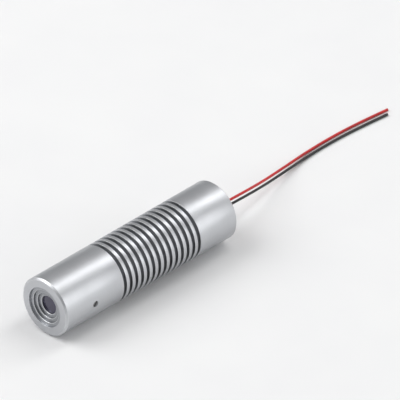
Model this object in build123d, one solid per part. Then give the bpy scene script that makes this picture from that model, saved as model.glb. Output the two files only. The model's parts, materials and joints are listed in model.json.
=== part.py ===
from build123d import *
from math import pi, radians, sqrt, tan
import os

# Laser diode module: a turned barrel with a band of square cooling grooves, a stepped
# light outlet in front, a slotted lock screw in its side and two insulated leads behind.
# The barrel lies on its side on z = 0 with its axis along Y. The front faces -Y, and the
# origin is on the ground under the middle of the barrel. Stations are measured along the
# axis from the barrel's front face. Sizes are in millimetres.

# Barrel
barrel_diameter = 16.0
barrel_length = 60.0
barrel_wall = 2.5
barrel_chamfer = 0.5
groove_band_start = 20.0
groove_count = 14
groove_width = 1.0
groove_pitch = 2.0
groove_depth = 1.5

# Fits, and how far a cutting tool reaches past the face it cuts
sliding_gap = 0.02
seat_gap = 0.05
board_gap = 0.025
cut_past = 1.0

# Optics
cell_setback = 0.5
aperture_diameter = 5.0
funnel_steps = 3
funnel_step_depth = 0.5
optic_diameter = 6.5
window_thickness = 0.8
spacer_length = 6.5
spacer_wall = 0.55
lens_rim_thickness = 1.5
lens_front_curve = 5.0
lens_rear_curve = 12.0
lens_dome_margin = 0.1
ring_length = 1.5
ring_wall = 0.8
ring_slot_width = 0.6
ring_slot_depth = 0.5
cell_tail = 1.2

# Lock screw
screw_station = 10.0
screw_diameter = 1.6
screw_recess = 0.1
screw_chamfer = 0.1
screw_point_length = 0.3
screw_point_diameter = 1.0
screw_slot_width = 0.4
screw_slot_depth = 0.6
screw_slot_angle = 50.0

# Focus spring, coiled from flat wire
spring_wire_width = 0.8
spring_wire_thickness = 0.4
spring_length = 3.5
spring_turns = 3

# Diode block
block_length = 8.0
block_chamfer = 0.3
clamp_ring_length = 1.8
clamp_ring_bore = 4.5
clamp_slot_width = 0.8
clamp_slot_depth = 0.5
pin_tunnel_diameter = 4.2

# Laser diode in its metal can
base_diameter = 5.6
base_thickness = 1.2
base_vee_depth = 0.35
base_key_width = 1.0
base_key_depth = 0.4
cap_flange_diameter = 4.3
cap_flange_thickness = 0.2
cap_diameter = 3.55
cap_height = 2.3
cap_wall = 0.15
cap_aperture = 1.6
cap_window_diameter = 2.6
cap_window_thickness = 0.25
post_width = 1.3
post_thickness = 0.9
post_height = 1.35
chip_width = 0.5
chip_length = 0.6
chip_thickness = 0.3
monitor_size = 0.6
monitor_thickness = 0.15
pin_diameter = 0.45
pin_circle_diameter = 2.0
pin_overlap = 2.1
pin_stub = 0.4
bead_diameter = 1.0

# Driver board
board_start_gap = 0.4
lead_room = 5.5
board_front_margin = 3.5
board_rear_margin = 3.5
sleeve_wall = 0.3
sleeve_end_gap = 0.2
pin_solder_radius = 0.5
pin_solder_length = 1.4
lead_solder_radius = 0.65
lead_solder_length = 1.6

# Parts on the board: sizes are across the board, along it, and in height
top_part_count = 3
regulator_size = (3.0, 3.0, 0.85)
regulator_reach = 0.95
regulator_leg_width = 0.3
regulator_leg_thickness = 0.15
regulator_leg_pitch = 0.65
regulator_leg_count = 4
regulator_standoff = 0.1
transistor_size = (4.4, 2.4, 1.5)
transistor_chamfer = 0.25
transistor_leg_width = 0.45
transistor_leg_pitch = 1.5
transistor_leg_length = 0.8
transistor_leg_thickness = 0.4
transistor_tab_width = 1.7
tantalum_size = (3.2, 1.6, 1.6)
ceramic_size = (2.0, 1.25, 0.8)
ceramic_count = 2
resistor_size = (1.6, 0.8, 0.45)
resistor_count = 4
diode_size = (2.7, 1.6, 1.1)
terminal_length = 0.35
terminal_lip = 0.04

# Rear plug and leads
plug_length = 4.0
plug_setback = 0.5
plug_chamfer = 0.3
lead_diameter = 0.7
lead_spacing = 1.5
lead_core_diameter = 0.3
lead_strip_length = 2.4
lead_overlap = 2.2

# Routes of the free leads: across, behind the plug's face, and above the ground. The first
# two points leave the plug squarely, and the rest come down to the ground and lie on it.
lead_radius = lead_diameter / 2
lead_straight = 3.5
arc_share = 0.45
upper_lead_route = [
    (-0.70, 10.3, 7.35),
    (-3.40, 20.5, 4.55),
    (-7.15, 32.5, 1.35),
    (-8.80, 41.8, lead_radius),
    (-9.00, 50.9, lead_radius),
    (-8.55, 60.7, lead_radius),
    (-7.50, 69.8, lead_radius),
]
lower_lead_route = [
    (-0.50, 10.1, 6.05),
    (-2.60, 19.7, 3.85),
    (-5.75, 31.1, 1.25),
    (-7.30, 40.3, lead_radius),
    (-7.50, 49.4, lead_radius),
    (-7.05, 59.2, lead_radius),
    (-6.05, 68.3, lead_radius),
]

# Radii and heights that follow from the sizes above
barrel_radius = barrel_diameter / 2
bore_radius = barrel_radius - barrel_wall
axis_height = barrel_radius
cell_radius = bore_radius - sliding_gap
optic_radius = optic_diameter / 2
optic_bore_radius = optic_radius + sliding_gap
screw_radius = screw_diameter / 2
base_radius = base_diameter / 2
pin_radius = pin_diameter / 2
pin_circle_radius = pin_circle_diameter / 2

# Stations that follow from the sizes above
cell_front = cell_setback
window_front = cell_front + funnel_steps * funnel_step_depth
spacer_front = window_front + window_thickness
lens_front = spacer_front + spacer_length
lens_rear = lens_front + lens_rim_thickness
ring_rear = lens_rear + ring_length
cell_rear = ring_rear + cell_tail
block_front = cell_rear + spring_length
base_front = block_front + clamp_ring_length
base_rear = base_front + base_thickness
cap_front = base_front - cap_height
block_rear = block_front + block_length
plug_rear = barrel_length - plug_setback
plug_front = plug_rear - plug_length
board_front = block_rear + board_start_gap
board_rear = plug_front - lead_room
board_length = board_rear - board_front
pin_rear = board_front + pin_overlap

# The board lies between the two pins above it and the one pin below it
board_middle = -pin_circle_radius / 2
board_thickness = pin_circle_radius - pin_diameter - 2 * board_gap
board_top = board_middle + board_thickness / 2
board_bottom = board_middle - board_thickness / 2
sleeve_radius = bore_radius - seat_gap
sleeve_bore_radius = sleeve_radius - sleeve_wall
board_corner = max(abs(board_top), abs(board_bottom))
board_width = 2 * sqrt(sleeve_bore_radius**2 - board_corner**2) - 2 * board_gap
upper_lead_height = board_middle + lead_spacing / 2
lower_lead_height = board_middle - lead_spacing / 2


def on_axis(shape):
    """Moves a shape made about Y, with stations along Y, to its place in the barrel."""
    return Pos(0, -barrel_length / 2, axis_height) * shape


def turned(corners):
    """Solid turned from (radius, station) corners."""
    outline = make_face(Polyline(*corners, close=True))
    return revolve(outline, Axis.Y)


def rod(radius, front, rear, across=0.0, height=0.0):
    """Round rod along the axis between two stations."""
    start = Plane((across, front, height), x_dir=(1, 0, 0), z_dir=(0, 1, 0))
    return extrude(start * Circle(radius), rear - front)


def tube(outer, inner, front, rear):
    """Tube about the axis between two stations."""
    return turned([(inner, front), (outer, front), (outer, rear), (inner, rear)])


def block(width, front, rear, bottom, top):
    """Rectangular block between two stations and two heights, centred across."""
    middle = Pos(0, (front + rear) / 2, (bottom + top) / 2)
    return middle * Box(width, rear - front, top - bottom)


def barrel():
    """Turned barrel with chamfered ends, cooling grooves, a through bore and a screw hole."""
    rear = barrel_length
    shell = turned([
        (bore_radius, 0),
        (barrel_radius - barrel_chamfer, 0),
        (barrel_radius, barrel_chamfer),
        (barrel_radius, rear - barrel_chamfer),
        (barrel_radius - barrel_chamfer, rear),
        (bore_radius, rear),
    ])
    for number in range(groove_count):
        front = groove_band_start + number * groove_pitch
        root = barrel_radius - groove_depth
        shell -= tube(barrel_radius + cut_past, root, front, front + groove_width)
    hole_start = Plane((0, screw_station, 0), x_dir=(0, 1, 0), z_dir=(1, 0, 0))
    shell -= extrude(hole_start * Circle(screw_radius + sliding_gap), barrel_diameter)
    return shell


def lens_cell():
    """Turned cell with a funnel of square steps in front and a bore for the optics."""
    aperture = aperture_diameter / 2
    step_width = (cell_radius - aperture) / funnel_steps
    corners = [(cell_radius, cell_rear), (cell_radius, cell_front)]
    for number in range(funnel_steps):
        radius = cell_radius - (number + 1) * step_width
        station = cell_front + number * funnel_step_depth
        corners.append((radius, station))
        corners.append((radius, station + funnel_step_depth))
    corners.append((optic_bore_radius, window_front))
    corners.append((optic_bore_radius, cell_rear))
    return turned(corners)


def front_window():
    """Flat protective glass behind the aperture."""
    return rod(optic_radius, window_front, spacer_front)


def window_spacer():
    """Tube that keeps the window and the lens apart."""
    return tube(optic_radius, optic_radius - spacer_wall, spacer_front, lens_front)


def curve_depth(curve, radius):
    """How far a sphere of the given curve falls away at a radius."""
    return curve - sqrt(curve**2 - radius**2)


def collimating_lens():
    """Lens with a flat rim and a steep front and shallow rear dome."""
    front_edge = optic_radius - spacer_wall - lens_dome_margin
    rear_edge = optic_radius - ring_wall - lens_dome_margin
    front_pole = lens_front - curve_depth(lens_front_curve, front_edge)
    rear_pole = lens_rear + curve_depth(lens_rear_curve, rear_edge)
    front_half = (front_edge / 2, front_pole + curve_depth(lens_front_curve, front_edge / 2))
    rear_half = (rear_edge / 2, rear_pole - curve_depth(lens_rear_curve, rear_edge / 2))
    outline = Curve() + [
        ThreePointArc((0, front_pole), front_half, (front_edge, lens_front)),
        Polyline(
            (front_edge, lens_front),
            (optic_radius, lens_front),
            (optic_radius, lens_rear),
            (rear_edge, lens_rear),
        ),
        ThreePointArc((rear_edge, lens_rear), rear_half, (0, rear_pole)),
        Line((0, rear_pole), (0, front_pole)),
    ]
    return revolve(make_face(outline), Axis.Y)


def lens_retaining_ring():
    """Ring behind the lens, with a spanner slot across its rear face."""
    ring = tube(optic_radius, optic_radius - ring_wall, lens_rear, ring_rear)
    slot_bottom = ring_rear - ring_slot_depth
    half = ring_slot_width / 2
    return ring - block(2 * optic_diameter, slot_bottom, ring_rear + cut_past, -half, half)


def lock_screw():
    """Slotted grub screw through the barrel's side onto the lens cell."""
    outer = barrel_radius - screw_recess
    point = screw_point_diameter / 2
    outline = Polyline(
        (cell_radius, 0),
        (cell_radius, point),
        (cell_radius + screw_point_length, screw_radius),
        (outer - screw_chamfer, screw_radius),
        (outer, screw_radius - screw_chamfer),
        (outer, 0),
        close=True,
    )
    screw = revolve(make_face(outline), Axis.X)
    slot = Pos(outer, 0, 0) * Box(2 * screw_slot_depth, 2 * screw_diameter, screw_slot_width)
    screw -= Rot(screw_slot_angle, 0, 0) * slot
    return Pos(0, screw_station, 0) * screw


def focus_spring():
    """Coil spring of flat wire between the lens cell and the diode block."""
    half = spring_wire_thickness / 2
    coil_radius = bore_radius - seat_gap - spring_wire_width / 2
    height = spring_length - spring_wire_thickness
    centre = Vector(0, cell_rear + half, 0)
    path = Helix(height / spring_turns, height, coil_radius, center=centre, direction=(0, 1, 0))
    start = Plane(path @ 0, x_dir=path @ 0 - centre, z_dir=path % 0)
    wire = start * Rectangle(spring_wire_width, spring_wire_thickness)
    return sweep(wire, path=path, is_frenet=True)


def diode_block():
    """Heat spreader that carries the laser diode and fills the bore under the grooves."""
    outer = bore_radius - sliding_gap
    seat = base_radius + sliding_gap
    tunnel = pin_tunnel_diameter / 2
    return turned([
        (seat, block_front),
        (outer - block_chamfer, block_front),
        (outer, block_front + block_chamfer),
        (outer, block_rear - block_chamfer),
        (outer - block_chamfer, block_rear),
        (tunnel, block_rear),
        (tunnel, base_rear),
        (seat, base_rear),
    ])


def diode_clamp_ring():
    """Ring that clamps the diode's base on its seat, with a spanner slot in front."""
    ring = tube(base_radius, clamp_ring_bore / 2, block_front, base_front)
    slot_bottom = block_front + clamp_slot_depth
    half = clamp_slot_width / 2
    return ring - block(2 * base_diameter, block_front - cut_past, slot_bottom, -half, half)


def base_notches():
    """Two vee notches at the sides of the diode's base and a square key notch below."""
    vee = Rot(0, 45, 0) * Box(sqrt(2) * base_vee_depth, 2 * base_thickness, sqrt(2) * base_vee_depth)
    middle = (base_front + base_rear) / 2
    notches = [Pos(side * base_radius, middle, 0) * vee for side in (-1, 1)]
    key = Box(base_key_width, 2 * base_thickness, 2 * base_key_depth)
    notches.append(Pos(0, middle, -base_radius) * key)
    return notches


def pin_places():
    """Across and height of the three diode pins."""
    radius = pin_circle_radius
    return [(-radius, 0.0), (radius, 0.0), (0.0, -radius)]


def diode_base():
    """Round base of the laser diode with its notches, bead holes and chip post."""
    base = rod(base_radius, base_front, base_rear)
    for notch in base_notches():
        base -= notch
    for across, height in pin_places()[:2]:
        base -= rod(bead_diameter / 2, base_front - cut_past, base_rear + cut_past, across, height)
    post_bottom = chip_thickness
    post_top = chip_thickness + post_thickness
    base += block(post_width, base_front - post_height, base_front, post_bottom, post_top)
    return base


def diode_cap():
    """Drawn can over the chip, with a weld flange and a round light opening."""
    outer = cap_diameter / 2
    inner = outer - cap_wall
    flange = cap_flange_diameter / 2
    return turned([
        (inner, base_front),
        (flange, base_front),
        (flange, base_front - cap_flange_thickness),
        (outer, base_front - cap_flange_thickness),
        (outer, cap_front),
        (cap_aperture / 2, cap_front),
        (cap_aperture / 2, cap_front + cap_wall),
        (inner, cap_front + cap_wall),
    ])


def diode_window():
    """Glass disc inside the can's front."""
    front = cap_front + cap_wall
    return rod(cap_window_diameter / 2, front, front + cap_window_thickness)


def laser_chip():
    """Laser chip on its mount, under the post with its light on the axis."""
    front = base_front - post_height
    return block(chip_width, front, front + chip_length, 0, chip_thickness)


def monitor_chip():
    """Photodiode on the base behind the laser chip."""
    low = -monitor_size / 2
    return block(monitor_size, base_front - monitor_thickness, base_front, low, -low)


def diode_pins():
    """Two pins through beads and one pin welded to the back of the base."""
    fronts = [base_front - pin_stub, base_front - pin_stub, base_rear]
    pins = []
    for (across, height), front in zip(pin_places(), fronts):
        pins.append(rod(pin_radius, front, pin_rear, across, height))
    return pins


def pin_beads():
    """Glass beads that insulate two pins in the base."""
    beads = []
    for across, height in pin_places()[:2]:
        bead = rod(bead_diameter / 2, base_front, base_rear, across, height)
        bead -= rod(pin_radius, base_front - cut_past, base_rear + cut_past, across, height)
        beads.append(bead)
    return beads


def driver_board():
    """Circuit board along the barrel, in the space between the diode's pins."""
    return block(board_width, board_front, board_rear, board_bottom, board_top)


def solder_bead(core_radius, radius, front, rear, across, height):
    """Solder round a pin or wire, cut off at the board's nearest face."""
    bead = rod(radius, front, rear, across, height)
    bead -= rod(core_radius, front - cut_past, rear + cut_past, across, height)
    if height > board_middle:
        return bead & block(board_width, front, rear, board_top, board_top + barrel_diameter)
    return bead & block(board_width, front, rear, board_bottom - barrel_diameter, board_bottom)


def pin_solder():
    """Solder that joins the three pins to the board."""
    front = pin_rear - pin_solder_length
    return [
        solder_bead(pin_radius, pin_solder_radius, front, pin_rear, across, height)
        for across, height in pin_places()
    ]


def lead_solder():
    """Solder that joins the two stripped lead ends to the board."""
    front = board_rear - lead_overlap
    rear = front + lead_solder_length
    core = lead_core_diameter / 2
    return [
        solder_bead(core, lead_solder_radius, front, rear, 0, height)
        for height in (upper_lead_height, lower_lead_height)
    ]


def stations_along(count):
    """Stations of a row of parts spread evenly over the free length of the board."""
    start = board_front + board_front_margin
    free = board_length - board_front_margin - board_rear_margin
    return [start + free * (number + 0.5) / count for number in range(count)]


def topside_stations():
    """Stations of the parts on the board: the transistor, the regulator and the capacitor."""
    return stations_along(top_part_count)


def on_top(shape, station):
    """Puts a shape that stands on z = 0 on the board's top face."""
    return Pos(0, station, board_top) * shape


def underneath(shape, station):
    """Hangs a shape that stands on z = 0 under the board."""
    return Pos(0, station, board_bottom) * Rot(0, 180, 0) * shape


def standing_box(across, along, height, bottom=0.0):
    """Box that stands on a level."""
    return Pos(0, 0, bottom + height / 2) * Box(across, along, height)


def regulator_leg(side):
    """Bent leg of the regulator chip, from its body down to the board."""
    body = regulator_size[0] / 2
    thick = regulator_leg_thickness
    shoulder = regulator_standoff + regulator_size[2] / 2
    knee = body + regulator_reach / 2
    outline = Polyline(
        (side * body, shoulder),
        (side * knee, shoulder),
        (side * knee, thick),
        (side * (body + regulator_reach), thick),
        (side * (body + regulator_reach), 0),
        (side * (knee - thick), 0),
        (side * (knee - thick), shoulder - thick),
        (side * body, shoulder - thick),
        close=True,
    )
    face = Plane.XZ * make_face(outline)
    return extrude(face, regulator_leg_width / 2, both=True)


def regulator_chip():
    """Eight-legged chip that holds the laser's power steady."""
    across, along, height = regulator_size
    chip = standing_box(across, along, height, regulator_standoff)
    first = -(regulator_leg_count - 1) / 2 * regulator_leg_pitch
    for side in (-1, 1):
        leg = regulator_leg(side)
        for number in range(regulator_leg_count):
            chip += Pos(0, first + number * regulator_leg_pitch, 0) * leg
    return on_top(chip, topside_stations()[1])


def power_transistor():
    """Transistor that drives the laser diode, with three legs and a cooling tab."""
    across, along, height = transistor_size
    body = standing_box(across, along, height)
    body = chamfer(body.faces().sort_by(Axis.Z)[-1].edges(), transistor_chamfer)
    reach = along / 2 + transistor_leg_length / 2
    for number in (-1, 0, 1):
        leg = standing_box(transistor_leg_width, transistor_leg_length, transistor_leg_thickness)
        body += Pos(number * transistor_leg_pitch, reach, 0) * leg
    tab = standing_box(transistor_tab_width, transistor_leg_length, transistor_leg_thickness)
    body += Pos(0, -reach, 0) * tab
    return on_top(body, topside_stations()[0])


def end_capped_chip(size):
    """Small part that lies across the board with a metal cap on each end."""
    across, along, height = size
    core_across, core_along, core_height = (length - 2 * terminal_lip for length in size)
    core = standing_box(core_across, core_along, core_height, terminal_lip)
    cap = standing_box(terminal_length, along, height)
    offset = (across - terminal_length) / 2
    return core + Pos(-offset, 0, 0) * cap + Pos(offset, 0, 0) * cap


def smoothing_capacitor():
    """Tantalum capacitor that smooths the supply, near the leads."""
    return on_top(end_capped_chip(tantalum_size), topside_stations()[2])


def underside_stations():
    """Stations of the small parts under the board, from the diode end to the leads."""
    return stations_along(resistor_count + ceramic_count + 1)


def resistors():
    """Resistors that set the laser's power."""
    stations = underside_stations()[:resistor_count]
    return [underneath(end_capped_chip(resistor_size), station) for station in stations]


def ceramic_capacitors():
    """Ceramic capacitors beside the resistors."""
    stations = underside_stations()[resistor_count:resistor_count + ceramic_count]
    return [underneath(end_capped_chip(ceramic_size), station) for station in stations]


def protection_diode():
    """Diode that guards against a reversed supply."""
    return underneath(end_capped_chip(diode_size), underside_stations()[-1])


def board_sleeve():
    """Insulating tube that lines the bore round the board."""
    front = block_rear + sleeve_end_gap
    return tube(sleeve_radius, sleeve_bore_radius, front, plug_front - sleeve_end_gap)


def rear_plug():
    """Plug in the rear of the bore, with a hole for each lead."""
    outer = bore_radius - sliding_gap
    plug = turned([
        (0, plug_front),
        (outer, plug_front),
        (outer, plug_rear - plug_chamfer),
        (outer - plug_chamfer, plug_rear),
        (0, plug_rear),
    ])
    for height in (upper_lead_height, lower_lead_height):
        hole_radius = lead_radius + sliding_gap
        plug -= rod(hole_radius, plug_front - cut_past, plug_rear + cut_past, 0, height)
    return plug


def inner_leads():
    """Ends of the leads inside the barrel, each with its stripped core over the board."""
    core_front = board_rear - lead_overlap
    cover_front = core_front + lead_strip_length
    leads = []
    for height in (upper_lead_height, lower_lead_height):
        cover = rod(lead_radius, cover_front, plug_rear, 0, height)
        leads.append(cover + rod(lead_core_diameter / 2, core_front, cover_front, 0, height))
    return leads


def lead_points(height, route):
    """Points of a free lead, with its first stretch square to the plug's rear face."""
    face = plug_rear - barrel_length / 2
    exit_height = axis_height + height
    points = [(0, face, exit_height), (0, face + lead_straight, exit_height)]
    for across, behind, above in route:
        points.append((across, face + behind, above))
    return [Vector(*point) for point in points]


def corner_radii(points):
    """Arc at each corner: a share of its shorter run over the tangent of half the turn."""
    radii = []
    for before, corner, after in zip(points, points[1:], points[2:]):
        run_in = corner - before
        run_out = after - corner
        half_turn = radians(run_in.get_angle(run_out)) / 2
        radii.append(arc_share * min(run_in.length, run_out.length) / tan(half_turn))
    return radii


def free_lead(height, route):
    """Free lead swept along straight runs joined by tangent arcs."""
    points = lead_points(height, route)
    radii = corner_radii(points)
    path = FilletPolyline(*points, radius=radii)
    section = Plane(path @ 0, z_dir=path % 0) * Circle(lead_radius)
    lead = sweep(section, path=path)
    share = lead.volume / (pi * lead_radius**2 * path.length)
    print("lead", round(path.length, 2), "mm long, volume over section times length", round(share, 4))
    print("  corner radii", [round(radius, 1) for radius in radii])
    return lead


def save(name, shape):
    """Writes one sub-part, which may be a group of separate solids."""
    solids = shape if isinstance(shape, list) else [shape]
    placed = [on_axis(solid) for solid in solids]
    group = placed[0] if len(placed) == 1 else Compound(children=placed)
    export_step(group, f"parts/{name}.step")


def main():
    os.makedirs("parts", exist_ok=True)
    pieces = [
        barrel, lens_cell, front_window, window_spacer, collimating_lens, lens_retaining_ring,
        lock_screw, focus_spring, diode_block, diode_clamp_ring, diode_base, diode_cap,
        diode_window, laser_chip, monitor_chip, diode_pins, pin_beads, driver_board,
        pin_solder, regulator_chip, power_transistor, smoothing_capacitor, resistors,
        ceramic_capacitors, protection_diode, board_sleeve, rear_plug, inner_leads, lead_solder,
    ]
    for piece in pieces:
        save(piece.__name__, piece())
    export_step(free_lead(upper_lead_height, upper_lead_route), "parts/lead_positive.step")
    export_step(free_lead(lower_lead_height, lower_lead_route), "parts/lead_negative.step")


main()
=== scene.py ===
import json
from math import cos, pi, radians, sin, tan

import bmesh
import bpy
from mathutils import Matrix, Vector

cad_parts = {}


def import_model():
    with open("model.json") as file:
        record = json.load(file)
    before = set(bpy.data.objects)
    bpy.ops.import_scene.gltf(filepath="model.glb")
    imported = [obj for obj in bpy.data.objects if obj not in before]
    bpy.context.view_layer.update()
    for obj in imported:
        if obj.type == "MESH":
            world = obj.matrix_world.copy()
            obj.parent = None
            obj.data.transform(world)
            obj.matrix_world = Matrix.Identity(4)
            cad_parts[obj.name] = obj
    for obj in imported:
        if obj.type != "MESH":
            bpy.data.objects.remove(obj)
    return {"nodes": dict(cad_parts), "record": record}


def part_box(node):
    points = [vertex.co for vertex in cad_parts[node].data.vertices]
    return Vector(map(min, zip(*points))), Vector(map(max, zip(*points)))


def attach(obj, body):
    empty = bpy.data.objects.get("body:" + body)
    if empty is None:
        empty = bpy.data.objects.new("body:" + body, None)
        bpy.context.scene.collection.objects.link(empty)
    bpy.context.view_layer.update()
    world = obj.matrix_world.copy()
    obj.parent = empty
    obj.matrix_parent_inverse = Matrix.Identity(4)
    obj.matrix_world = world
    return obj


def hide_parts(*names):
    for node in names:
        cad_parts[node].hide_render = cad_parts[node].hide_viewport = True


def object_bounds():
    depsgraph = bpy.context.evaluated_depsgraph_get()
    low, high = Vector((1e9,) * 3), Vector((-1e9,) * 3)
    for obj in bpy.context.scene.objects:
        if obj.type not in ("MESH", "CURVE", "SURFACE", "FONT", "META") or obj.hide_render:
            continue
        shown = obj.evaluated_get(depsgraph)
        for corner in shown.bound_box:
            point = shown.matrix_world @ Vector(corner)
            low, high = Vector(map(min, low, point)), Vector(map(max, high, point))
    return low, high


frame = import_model()

# Looks of the laser diode module. Sizes are in millimetres, as in the CAD source, and meshes
# are made in metres. Stations run along the barrel's axis from its front face.
MM = 0.001
cad_low, cad_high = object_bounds()
barrel_low, barrel_high = (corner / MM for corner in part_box("barrel"))
barrel_length = barrel_high.y - barrel_low.y
barrel_radius = (barrel_high.x - barrel_low.x) / 2
axis_height = barrel_low.z + barrel_radius

# Barrel
bore_radius = 5.5
barrel_chamfer = 0.5
groove_band_start = 20.0
groove_count = 14
groove_width = 1.0
groove_pitch = 2.0
groove_depth = 1.5

# Lens cell and window
sliding_gap = 0.02
cell_radius = bore_radius - sliding_gap
cell_front = 0.5
cell_rear = 13.5
aperture_radius = 2.5
funnel_steps = 3
funnel_step_depth = 0.5
optic_radius = 3.25
window_front = cell_front + funnel_steps * funnel_step_depth
window_thickness = 0.8

# Lock screw
screw_station = 10.0
screw_radius = 0.8
screw_recess = 0.1
screw_chamfer = 0.1
screw_point_length = 0.3
screw_point_radius = 0.5
screw_slot_width = 0.4
screw_slot_depth = 0.6
screw_slot_angle = 50.0
screw_slot_round = 0.02
screw_hole_flare = 0.08

# Rear plug
plug_length = 4.0
plug_setback = 0.5
plug_rear = barrel_length - plug_setback
plug_front = plug_rear - plug_length
plug_chamfer = 0.3

# Leads. A route's points are given across, behind the plug's face and above the ground.
lead_radius = 0.35
lead_straight = 3.5
lead_exits = {"lead_positive": 0.25, "lead_negative": -1.25}
lead_routes = {
    "lead_positive": [
        (-0.70, 10.3, 7.35),
        (-3.40, 20.5, 4.55),
        (-7.15, 32.5, 1.35),
        (-8.80, 41.8, lead_radius),
        (-9.00, 50.9, lead_radius),
        (-8.55, 60.7, lead_radius),
        (-7.50, 69.8, lead_radius),
    ],
    "lead_negative": [
        (-0.50, 10.1, 6.05),
        (-2.60, 19.7, 3.85),
        (-5.75, 31.1, 1.25),
        (-7.30, 40.3, lead_radius),
        (-7.50, 49.4, lead_radius),
        (-7.05, 59.2, lead_radius),
        (-6.05, 68.3, lead_radius),
    ],
}
strand_radius = 0.05
strand_end_share = 0.85
strand_reach = 0.12
outer_strands = 6

# Rounds of edges
edge_round = 0.08
lip_round = 0.07
root_round = 0.1
small_round = 0.04
funnel_round = 0.16

# Fineness of the meshes, the least angles of sharp and of bevelled edges, in degrees, and how
# far a cutting tool reaches past the face it cuts
round_steps = 4
fine_segments = 192
window_segments = 128
small_segments = 64
strand_segments = 16
lead_side_steps = 6
lead_length_steps = 20
bevel_segments = 2
sharp_angle = 35.0
bevel_angle = 50.0
cut_past = 1.0

# Lathe marks, worn edges and painted shade in inner corners of turned metal: noise scales per
# millimetre, shares of tone and of roughness, and a depth in millimetres
mark_scale = 5.0
mark_roughness = 0.6
mark_tone = 0.95
mark_share = 0.35
mark_depth = 0.0012
band_scale = 0.8
band_streak = 0.015
smudge_scale = 0.12
# Painted shade in inner corners: the dark copy's share of the metal's brightness, and how far the
# colour goes to it
painted_shade_tone = 0.3
painted_shade_share = 0.35
least_wear = 0.5

# Grain of the other materials, and dust on glass
cloud_spread = 12
glass_index = 1.52
dust_scale = 0.8
dust_tone = 1.03
dust_roughness = 0.03

# Camera on the drawing's isometric line of sight: metres, and millimetres for the lens. A lens
# twice as long, twice as far away, leaves the other views empty.
view_from = Vector((1, -1, 1)).normalized()
view_aim = Vector((16.407, 8.202, 29.795)) * MM
view_distance = 4.1384
lens_length = 1500
sensor_width = 36
clip_near = 0.1
clip_far = 100

# Floor and sky, in metres
floor_reach = 20
floor_drop = 0.00002
floor_tone = (0.84, 0.84, 0.845)
floor_pale_tone = (0.86, 0.86, 0.86)
sky_tone = (0.38, 0.39, 0.40)
zenith_tone = (0.50, 0.50, 0.50)
zenith_height = 0.8

# Lights: place and size in metres, and power in watts
lights = {
    "key": ((-0.8, -0.7, 1.1), (1.2, 1.2), 14),
    "strip": ((0.1, 0.9, 1.1), (0.45, 1.6), 6),
    "side": ((1.1, 0.5, 0.45), (0.8, 0.8), 3),
}


# Meshes

def place(across, station, height):
    """A point on the part, in metres, from its place about the barrel's axis."""
    return Vector((across, station - barrel_length / 2, height + axis_height)) * MM


def rounded(corners):
    """Points of an outline of (radius, station, round) corners, each with a value for worn edges and
    painted shade.

    The value is above 0 along a rounded outer edge, where the metal is worn, and -1 in a rounded inner
    corner, where shade is painted into the colour.
    """
    spots = [Vector(corner[:2]) for corner in corners]
    following = spots[1:] + spots[:1]
    way = sum(spot.cross(ahead) for spot, ahead in zip(spots, following))
    points = []
    for number, corner in enumerate(spots):
        size = corners[number][2]
        if size == 0:
            points.append((corner, 0.0))
            continue
        before = spots[number - 1] - corner
        after = following[number] - corner
        is_outer = before.cross(after) * way < 0
        reach = size / tan(before.angle(after) / 2)
        start = corner + before.normalized() * reach
        end = corner + after.normalized() * reach
        for step in range(round_steps + 1):
            share = step / round_steps
            bend = start.lerp(corner, share).lerp(corner.lerp(end, share), share)
            points.append((bend, sin(pi * share) if is_outer else -1.0))
    return points


def lathe(name, corners, segments=fine_segments, to_place=place):
    """Mesh turned from (radius, station, round) corners, closed or between two poles."""
    mesh = bmesh.new()
    wear_and_shade_layer = mesh.verts.layers.float.new("wear_and_shade")
    circles = []
    for (radius, station), wear_and_shade in rounded(corners):
        circle = []
        for step in range(segments if radius > 0 else 1):
            angle = 2 * pi * step / segments
            vertex = mesh.verts.new(to_place(radius * sin(angle), station, radius * cos(angle)))
            vertex[wear_and_shade_layer] = wear_and_shade
            circle.append(vertex)
        circles.append(circle)
    for circle, following in zip(circles, circles[1:] + circles[:1]):
        for step in range(segments):
            face = []
            for line, turn in ((circle, 0), (circle, 1), (following, 1), (following, 0)):
                vertex = line[(step + turn) % len(line)]
                if vertex not in face:
                    face.append(vertex)
            if len(face) > 2:
                mesh.faces.new(face)
    bmesh.ops.recalc_face_normals(mesh, faces=mesh.faces)
    return finished(name, mesh)


def linked(name, data):
    """New object in the scene, of a mesh, curve, light or camera."""
    piece = bpy.data.objects.new(name, data)
    bpy.context.scene.collection.objects.link(piece)
    return piece


def finished(name, mesh):
    """Object of a bmesh, smooth but for its sharp edges."""
    data = bpy.data.meshes.new(name)
    mesh.to_mesh(data)
    mesh.free()
    piece = linked(name, data)
    smooth(piece)
    return piece


def smooth(piece):
    """Smooth shading that keeps edges over an angle sharp."""
    piece.data.shade_smooth()
    piece.data.set_sharp_from_angle(angle=radians(sharp_angle))


def apply_modifiers(piece):
    """Puts the result of a piece's modifiers in its mesh."""
    graph = bpy.context.evaluated_depsgraph_get()
    result = bpy.data.meshes.new_from_object(
        piece.evaluated_get(graph), preserve_all_data_layers=True, depsgraph=graph)
    piece.modifiers.clear()
    piece.data = result
    smooth(piece)


def cut(piece, tool):
    """Cuts a tool out of a piece and throws the tool away."""
    modifier = piece.modifiers.new("cut", "BOOLEAN")
    modifier.operation = "DIFFERENCE"
    modifier.solver = "EXACT"
    modifier.object = tool
    apply_modifiers(piece)
    bpy.data.objects.remove(tool)


def soften(piece, width):
    """Breaks the sharp edges that a cut has left."""
    modifier = piece.modifiers.new("soften", "BEVEL")
    modifier.width = width * MM
    modifier.segments = bevel_segments
    modifier.limit_method = "ANGLE"
    modifier.angle_limit = radians(bevel_angle)
    apply_modifiers(piece)


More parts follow.
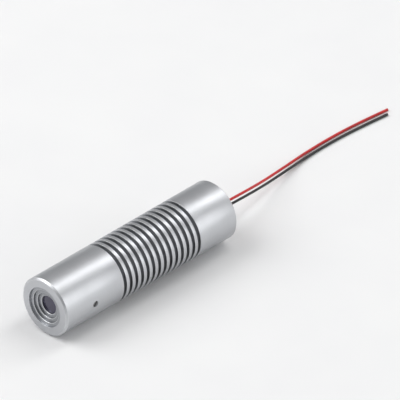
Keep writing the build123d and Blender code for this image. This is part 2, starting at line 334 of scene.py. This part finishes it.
def drill(piece, radius, start, end, flare, to_place):
    """Drills a round hole along a tool's axis, with a chamfer where it comes out."""
    beyond = end + cut_past
    tool = lathe("drill", [
        (0, start, 0),
        (radius, start, 0),
        (radius, end - flare, 0),
        (radius + flare, end, 0),
        (radius + flare, beyond, 0),
        (0, beyond, 0),
    ], small_segments, to_place)
    cut(piece, tool)


def to_screw(across, station, height):
    """Turns a point made about the barrel's axis to stand about the lock screw's axis."""
    return place(station, screw_station + across, height)


def barrel():
    """Barrel with broken edges, grooves with rounded roots and a flared screw hole."""
    outer = barrel_radius
    patch = 2 * screw_radius
    corners = [
        (bore_radius, 0, small_round),
        (outer - barrel_chamfer, 0, edge_round),
        (outer, barrel_chamfer, edge_round),
        (outer, screw_station - patch, 0),
        (outer, screw_station + patch, 0),
    ]
    for number in range(groove_count):
        front = groove_band_start + number * groove_pitch
        rear = front + groove_width
        root = outer - groove_depth
        corners += [
            (outer, front, lip_round),
            (root, front, root_round),
            (root, rear, root_round),
            (outer, rear, lip_round),
        ]
    corners += [
        (outer, barrel_length - barrel_chamfer, edge_round),
        (outer - barrel_chamfer, barrel_length, edge_round),
        (bore_radius, barrel_length, small_round),
    ]
    piece = lathe("barrel_turned", corners)
    hole = screw_radius + sliding_gap
    drill(piece, hole, bore_radius - cut_past, outer, screw_hole_flare, to_screw)
    return piece


def lens_cell():
    """Lens cell with its funnel of square steps."""
    step_width = (cell_radius - aperture_radius) / funnel_steps
    bore = optic_radius + sliding_gap
    corners = [(cell_radius, cell_rear, small_round), (cell_radius, cell_front, small_round)]
    for number in range(funnel_steps):
        radius = cell_radius - (number + 1) * step_width
        station = cell_front + number * funnel_step_depth
        corners.append((radius, station, funnel_round))
        corners.append((radius, station + funnel_step_depth, small_round))
    corners += [(bore, window_front, 0), (bore, cell_rear, 0)]
    return lathe("lens_cell_turned", corners)


def window():
    """Flat window with a ground edge."""
    rear = window_front + window_thickness
    return lathe("front_window_glass", [
        (0, window_front, 0),
        (optic_radius, window_front, edge_round),
        (optic_radius, rear, edge_round),
        (0, rear, 0),
    ], window_segments)


def lock_screw():
    """Grub screw with a chamfered rim, a cone point and a slot."""
    outer = barrel_radius - screw_recess
    piece = lathe("lock_screw_slotted", [
        (0, cell_radius, 0),
        (screw_point_radius, cell_radius, 0),
        (screw_radius, cell_radius + screw_point_length, 0),
        (screw_radius, outer - screw_chamfer, 0),
        (screw_radius - screw_chamfer, outer, small_round),
        (0, outer, 0),
    ], small_segments, to_screw)
    cut(piece, slot_tool(outer))
    soften(piece, screw_slot_round)
    return piece


def slot_tool(outer):
    """Block that mills the slot across the screw's outer end."""
    size = (2 * screw_slot_depth, 4 * screw_radius, screw_slot_width)
    turn = Matrix.Rotation(radians(screw_slot_angle), 4, "X")
    move = Matrix.Translation(place(outer, screw_station, 0))
    stretch = Matrix.Diagonal((*[length * MM for length in size], 1))
    mesh = bmesh.new()
    bmesh.ops.create_cube(mesh, matrix=move @ turn @ stretch)
    return finished("slot_tool", mesh)


def rear_plug():
    """Plug with a broken rim and a flared hole for each lead."""
    outer = cell_radius
    piece = lathe("rear_plug_moulded", [
        (0, plug_front, 0),
        (outer, plug_front, edge_round),
        (outer, plug_rear - plug_chamfer, edge_round),
        (outer - plug_chamfer, plug_rear, edge_round),
        (0, plug_rear, 0),
    ])
    hole = lead_radius + sliding_gap
    for height in lead_exits.values():
        def to_lead(across, station, up, height=height):
            return place(across, station, up + height)
        drill(piece, hole, plug_front - cut_past, plug_rear, edge_round, to_lead)
    return piece


def lead_points(node):
    """Points of a free lead's route, the same as in the CAD source, in metres."""
    face = plug_rear - barrel_length / 2
    level = axis_height + lead_exits[node]
    route = [(0, 0, level), (0, lead_straight, level)] + lead_routes[node]
    return [Vector((across, face + behind, above)) * MM for across, behind, above in route]


def lead(node):
    """Insulated lead as one smooth NURBS tube."""
    points = lead_points(node)
    curve = bpy.data.curves.new(node + "_cover", "CURVE")
    curve.dimensions = "3D"
    curve.bevel_depth = lead_radius * MM
    curve.bevel_resolution = lead_side_steps
    curve.resolution_u = lead_length_steps
    curve.use_fill_caps = True
    spline = curve.splines.new("NURBS")
    spline.points.add(len(points) - 1)
    for control, point in zip(spline.points, points):
        control.co = (*point, 1)
    spline.order_u = 3
    spline.use_endpoint_u = True
    return linked(node + "_cover", curve)


def strands(node):
    """Cut ends of a lead's wire strands, one in the middle and the rest round it."""
    before, end = lead_points(node)[-2:]
    along = (end - before).normalized()
    turn = along.to_track_quat("Z", "Y").to_matrix().to_4x4()
    mesh = bmesh.new()
    places = [Vector((0, 0, 0))]
    for number in range(outer_strands):
        angle = 2 * pi * number / outer_strands
        places.append(Vector((cos(angle), sin(angle), 0)) * 2 * strand_radius)
    for spot in places:
        matrix = Matrix.Translation(end) @ turn @ Matrix.Translation(spot * MM)
        bmesh.ops.create_cone(
            mesh, cap_ends=True, segments=strand_segments, matrix=matrix,
            depth=2 * strand_reach * MM, radius1=strand_radius * MM,
            radius2=strand_end_share * strand_radius * MM)
    return finished(node + "_strands", mesh)


# Shader nodes

def feed(tree, socket, value):
    """Gives a socket a constant value, or links it to the socket that feeds it."""
    if isinstance(value, bpy.types.NodeSocket):
        tree.links.new(value, socket)
    else:
        socket.default_value = value


def add_node(tree, kind, inputs=None, **settings):
    """Adds a node, with values or sockets for its inputs."""
    node = tree.nodes.new(kind)
    for key, value in settings.items():
        setattr(node, key, value)
    for key, value in (inputs or {}).items():
        feed(tree, node.inputs[key], value)
    return node


def arithmetic(tree, operation, first, second):
    """Result of an operation on two numbers."""
    return add_node(tree, "ShaderNodeMath", {0: first, 1: second}, operation=operation).outputs[0]


def vector_arithmetic(tree, operation, *operands, output="Vector"):
    """Result of an operation on one or two vectors."""
    inputs = dict(enumerate(operands))
    return add_node(tree, "ShaderNodeVectorMath", inputs, operation=operation).outputs[output]


def noise(tree, vector, scale, detail=2.0, roughness=0.5):
    """Soft noise, with most of its values from 0.3 to 0.7."""
    return add_node(tree, "ShaderNodeTexNoise", {
        "Vector": vector, "Scale": scale, "Detail": detail, "Roughness": roughness}).outputs[0]


def between(tree, factor, low, high, from_low=0.3, from_high=0.7):
    """Spreads a factor, a noise unless its range is given, over a range of values."""
    return add_node(tree, "ShaderNodeMapRange", {
        0: factor, 1: from_low, 2: from_high, 3: low, 4: high}).outputs[0]


def blend(tree, factor, first, second):
    """Mix of two colours, each a value or a socket."""
    node = tree.nodes.new("ShaderNodeMix")
    node.data_type = "RGBA"
    feed(tree, node.inputs[0], factor)
    for socket, color in ((node.inputs[6], first), (node.inputs[7], second)):
        feed(tree, socket, (*color, 1) if isinstance(color, tuple) else color)
    return node.outputs[2]


def scaled(color, share):
    """A colour at a share of its brightness, no brighter than white."""
    return tuple(min(1.0, share * value) for value in color)


def new_material(name, **constants):
    """New material: its tree, its shader with constant settings, and the place in mm."""
    material = bpy.data.materials.new(name)
    material.use_nodes = True
    tree = material.node_tree
    shader = tree.nodes["Principled BSDF"]
    for key, value in constants.items():
        shader.inputs[key.replace("_", " ")].default_value = value
    coordinates = tree.nodes.new("ShaderNodeTexCoord").outputs["Object"]
    in_mm = vector_arithmetic(tree, "MULTIPLY", coordinates, (1 / MM,) * 3)
    return material, tree, shader, in_mm


def turned_place(tree, in_mm, centre, axis):
    """Place on a turned surface: distance from the axis, and distance along it."""
    offset = vector_arithmetic(tree, "SUBTRACT", in_mm, centre)
    crossed = vector_arithmetic(tree, "CROSS_PRODUCT", offset, axis)
    away = vector_arithmetic(tree, "LENGTH", crossed, output="Value")
    along = vector_arithmetic(tree, "DOT_PRODUCT", offset, axis, output="Value")
    return add_node(tree, "ShaderNodeCombineXYZ", {0: away, 1: along}).outputs[0]


def raise_surface(tree, shader, height, depth):
    """Bump of a depth in millimetres."""
    bump = add_node(tree, "ShaderNodeBump", {"Height": height, "Distance": depth * MM, "Strength": 1.0})
    feed(tree, shader.inputs["Normal"], bump.outputs[0])


# Materials

def worn_and_shaded(tree, tone, color, worn_color, smudge):
    """Paints shade into a metal's tone in inner corners, and brightens it on worn edges."""
    wear_and_shade = add_node(tree, "ShaderNodeAttribute", attribute_name="wear_and_shade").outputs["Fac"]
    # Painted shade: in rounded inner corners the colour goes towards a dark copy of itself, where shade
    # falls.
    painted_shade_mask = between(tree, wear_and_shade, painted_shade_share, 0.0, from_low=-1.0, from_high=0.0)
    shaded_tone = blend(tree, painted_shade_mask, tone, scaled(color, painted_shade_tone))
    edge = between(tree, wear_and_shade, 0.0, 1.0, from_low=0.0, from_high=1.0)
    patchy = between(tree, smudge, least_wear, 1.0)
    return blend(tree, arithmetic(tree, "MULTIPLY", edge, patchy), shaded_tone, worn_color)


def turned_metal(name, color, worn_color, rough, centre=None, axis=(0, 1, 0), tangent="Y", **constants):
    """Metal with lathe marks round an axis, faint smudges, worn edges and painted shade in inner
    corners.
    """
    material, tree, shader, in_mm = new_material(name, Metallic=1.0, **constants)
    turned = turned_place(tree, in_mm, centre or (0, 0, axis_height), axis)
    marks = noise(tree, turned, mark_scale, roughness=mark_roughness)
    bands = noise(tree, turned, band_scale)
    smudge = noise(tree, in_mm, smudge_scale)
    tone = blend(tree, between(tree, marks, 0.0, 1.0), scaled(color, mark_tone), color)
    feed(tree, shader.inputs["Base Color"], worn_and_shaded(tree, tone, color, worn_color, smudge))
    streak = between(tree, bands, -band_streak, band_streak)
    roughness = arithmetic(tree, "ADD", between(tree, smudge, *rough), streak)
    feed(tree, shader.inputs["Roughness"], roughness)
    raise_surface(tree, shader, blend(tree, mark_share, bands, marks), mark_depth)
    ring_way = add_node(tree, "ShaderNodeTangent", direction_type="RADIAL", axis=tangent)
    feed(tree, shader.inputs["Tangent"], ring_way.outputs[0])
    return material


def plain(name, dark, light, scale, rough, depth, **constants):
    """Material with a grain in its colour, roughness and height."""
    material, tree, shader, in_mm = new_material(name, **constants)
    grain = noise(tree, in_mm, scale, detail=4.0)
    cloud = noise(tree, in_mm, scale / cloud_spread)
    tone = blend(tree, between(tree, cloud, 0.0, 1.0), dark, light)
    feed(tree, shader.inputs["Base Color"], tone)
    feed(tree, shader.inputs["Roughness"], between(tree, grain, *rough))
    raise_surface(tree, shader, grain, depth)
    return material


def clear_glass(name, tint):
    """Polished glass with a breath of dust."""
    material, tree, shader, in_mm = new_material(name, IOR=glass_index, Transmission_Weight=1.0)
    dust = noise(tree, in_mm, dust_scale, detail=4.0)
    tone = blend(tree, between(tree, dust, 0.0, 1.0), tint, scaled(tint, dust_tone))
    feed(tree, shader.inputs["Base Color"], tone)
    feed(tree, shader.inputs["Roughness"], between(tree, dust, 0.0, dust_roughness))
    return material


def board_mask(name, mask, over_copper, rough):
    """Solder mask with a pattern of copper tracks that show through it."""
    material, tree, shader, in_mm = new_material(name)
    black = (0, 0, 0, 1)
    white = (1, 1, 1, 1)
    tracks = add_node(tree, "ShaderNodeTexBrick", {
        "Vector": in_mm, "Scale": 1.0, "Mortar Size": 0.12, "Mortar Smooth": 0.1,
        "Color1": black, "Color2": black, "Mortar": white,
        "Brick Width": 2.6, "Row Height": 0.9}).outputs[0]
    feed(tree, shader.inputs["Base Color"], blend(tree, tracks, mask, over_copper))
    grain = noise(tree, in_mm, scale=6.0)
    feed(tree, shader.inputs["Roughness"], between(tree, grain, *rough))
    raise_surface(tree, shader, tracks, depth=0.03)
    return material


def two_covers(name, below, above, rough):
    """One colour above and one below, as the covers of the two inner leads."""
    material, tree, shader, in_mm = new_material(name)
    height = add_node(tree, "ShaderNodeSeparateXYZ", {0: in_mm}).outputs["Z"]
    middle = axis_height + sum(lead_exits.values()) / len(lead_exits)
    is_upper = arithmetic(tree, "GREATER_THAN", height, middle)
    feed(tree, shader.inputs["Base Color"], blend(tree, is_upper, below, above))
    grain = noise(tree, in_mm, scale=5.0)
    feed(tree, shader.inputs["Roughness"], between(tree, grain, *rough))
    return material


bright_edge = (0.86, 0.87, 0.88)
materials = {
    "barrel_metal": turned_metal(
        "barrel_metal", (0.56, 0.57, 0.59), bright_edge, rough=(0.33, 0.38), Anisotropic=0.5),
    "cell_metal": turned_metal(
        "cell_metal", (0.38, 0.39, 0.41), bright_edge, rough=(0.31, 0.35), Anisotropic=0.5),
    "inner_metal": turned_metal(
        "inner_metal", (0.025, 0.025, 0.028), (0.08, 0.08, 0.085), rough=(0.45, 0.6)),
    "screw_steel": turned_metal(
        "screw_steel", (0.22, 0.22, 0.225), (0.55, 0.54, 0.53), rough=(0.31, 0.42),
        centre=tuple(place(0, screw_station, 0) / MM), axis=(1, 0, 0), tangent="X"),
    "brass": turned_metal(
        "brass", (0.80, 0.60, 0.28), (0.90, 0.74, 0.42), rough=(0.22, 0.34)),
    "spring_steel": plain(
        "spring_steel", (0.42, 0.42, 0.43), (0.56, 0.56, 0.57),
        scale=9.0, rough=(0.25, 0.4), depth=0.004, Metallic=1.0),
    "can_metal": plain(
        "can_metal", (0.82, 0.64, 0.32), (0.90, 0.74, 0.42),
        scale=10.0, rough=(0.18, 0.3), depth=0.003, Metallic=1.0),
    "solder": plain(
        "solder", (0.60, 0.60, 0.60), (0.78, 0.78, 0.77),
        scale=4.0, rough=(0.2, 0.4), depth=0.02, Metallic=1.0),
    "chip_black": plain(
        "chip_black", (0.018, 0.018, 0.02), (0.035, 0.035, 0.038),
        scale=14.0, rough=(0.5, 0.65), depth=0.006),
    "tantalum_yellow": plain(
        "tantalum_yellow", (0.62, 0.36, 0.04), (0.74, 0.46, 0.07),
        scale=12.0, rough=(0.4, 0.55), depth=0.006),
    "ceramic_tan": plain(
        "ceramic_tan", (0.36, 0.25, 0.15), (0.46, 0.33, 0.21),
        scale=12.0, rough=(0.5, 0.65), depth=0.006),
    "bead_glass": plain(
        "bead_glass", (0.05, 0.10, 0.08), (0.09, 0.16, 0.12),
        scale=6.0, rough=(0.08, 0.16), depth=0.003),
    "sleeve_film": plain(
        "sleeve_film", (0.50, 0.20, 0.03), (0.62, 0.27, 0.05),
        scale=3.0, rough=(0.2, 0.3), depth=0.004),
    "plug_plastic": plain(
        "plug_plastic", (0.013, 0.013, 0.014), (0.024, 0.024, 0.026),
        scale=9.0, rough=(0.42, 0.55), depth=0.01),
    "lead_red": plain(
        "lead_red", (0.46, 0.008, 0.010), (0.60, 0.014, 0.014),
        scale=5.0, rough=(0.32, 0.44), depth=0.008),
    "lead_black": plain(
        "lead_black", (0.012, 0.012, 0.013), (0.022, 0.022, 0.024),
        scale=5.0, rough=(0.32, 0.44), depth=0.008),
    "optic_glass": clear_glass("optic_glass", (0.93, 0.95, 1.0)),
    "board_green": board_mask(
        "board_green", mask=(0.008, 0.10, 0.035), over_copper=(0.03, 0.22, 0.07),
        rough=(0.25, 0.4)),
    "wire_core": two_covers(
        "wire_core", below=(0.012, 0.012, 0.013), above=(0.55, 0.012, 0.012),
        rough=(0.35, 0.5)),
}
# Front window as opaque dark glass under a clear tinted coat: its dark base colour is painted shade,
# standing in for the dim inside seen through clear glass.
window_painted_shade = plain(
    "window_painted_shade", (0.010, 0.009, 0.020), (0.016, 0.014, 0.030),
    scale=3.0, rough=(0.30, 0.38), depth=0.0,
    IOR=glass_index, Coat_Weight=1.0, Coat_Roughness=0.03, Coat_Tint=(0.80, 0.76, 1.0, 1.0))
copper = plain(
    "copper_strands", (0.80, 0.36, 0.20), (0.92, 0.50, 0.32),
    scale=20.0, rough=(0.2, 0.35), depth=0.003, Metallic=1.0)


def paint(piece, material):
    """Gives a piece one material."""
    piece.data.materials.clear()
    piece.data.materials.append(material)


# Pieces

slot_of = {row["node"]: row["material_slot"] for row in frame["record"]["subparts"]}
for node, carried in frame["nodes"].items():
    for material_slot in carried.material_slots:
        material_slot.material = materials[slot_of[node]]


def dress(piece, node, material=None):
    """Puts a finer piece in the place of a CAD node, with that node's finish or its own."""
    paint(piece, material or materials[slot_of[node]])
    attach(piece, "root")
    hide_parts(node)
    return piece


dress(barrel(), "barrel")
dress(lens_cell(), "lens_cell")
dress(window(), "front_window", window_painted_shade)
dress(lock_screw(), "lock_screw")
dress(rear_plug(), "rear_plug")
for node in lead_routes:
    cover = dress(lead(node), node)
    ends = strands(node)
    paint(ends, copper)
    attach(ends, "root")


# Floor, light and camera

def floor():
    """Plain pale floor without gloss, far wider than the view."""
    mesh = bmesh.new()
    bmesh.ops.create_grid(mesh, x_segments=1, y_segments=1, size=floor_reach)
    piece = finished("floor", mesh)
    piece.location.z = -floor_drop
    paint(piece, plain(
        "floor_paper", floor_tone, floor_pale_tone,
        scale=0.5, rough=(0.6, 0.7), depth=0.0, Specular_IOR_Level=0.0))


def area_light(name, location, size, power):
    """Soft rectangular light that faces the middle of the part and no camera sees."""
    light = bpy.data.lights.new(name, "AREA")
    light.shape = "RECTANGLE"
    light.size, light.size_y = size
    light.energy = power
    piece = linked(name, light)
    piece.location = location
    middle = (cad_low + cad_high) / 2
    piece.rotation_euler = (middle - piece.location).to_track_quat("-Z", "Y").to_euler()
    piece.visible_camera = False


def world():
    """Even grey sky, a little brighter overhead, and below it the floor's tone."""
    surroundings = bpy.data.worlds.new("studio")
    bpy.context.scene.world = surroundings
    surroundings.use_nodes = True
    tree = surroundings.node_tree
    direction = tree.nodes.new("ShaderNodeTexCoord").outputs["Generated"]
    up = add_node(tree, "ShaderNodeSeparateXYZ", {0: direction}).outputs["Z"]
    climb = between(tree, up, 0.0, 1.0, from_low=0.0, from_high=zenith_height)
    sky = blend(tree, climb, sky_tone, zenith_tone)
    is_above = arithmetic(tree, "GREATER_THAN", up, 0.0)
    background = tree.nodes["Background"]
    feed(tree, background.inputs["Color"], blend(tree, is_above, floor_tone, sky))
    background.inputs["Strength"].default_value = 1.0


def camera():
    """Camera on the drawing's isometric line of sight, with a lens long enough for it."""
    lens = bpy.data.cameras.new("camera")
    lens.lens = lens_length
    lens.sensor_width = sensor_width
    lens.clip_start = clip_near
    lens.clip_end = clip_far
    piece = linked("camera", lens)
    piece.location = view_aim + view_from * view_distance
    piece.rotation_euler = view_from.to_track_quat("Z", "Y").to_euler()
    bpy.context.scene.camera = piece


floor()
world()
for name, (location, size, power) in lights.items():
    area_light(name, location, size, power)
camera()
bpy.context.scene.view_settings.view_transform = "Standard"
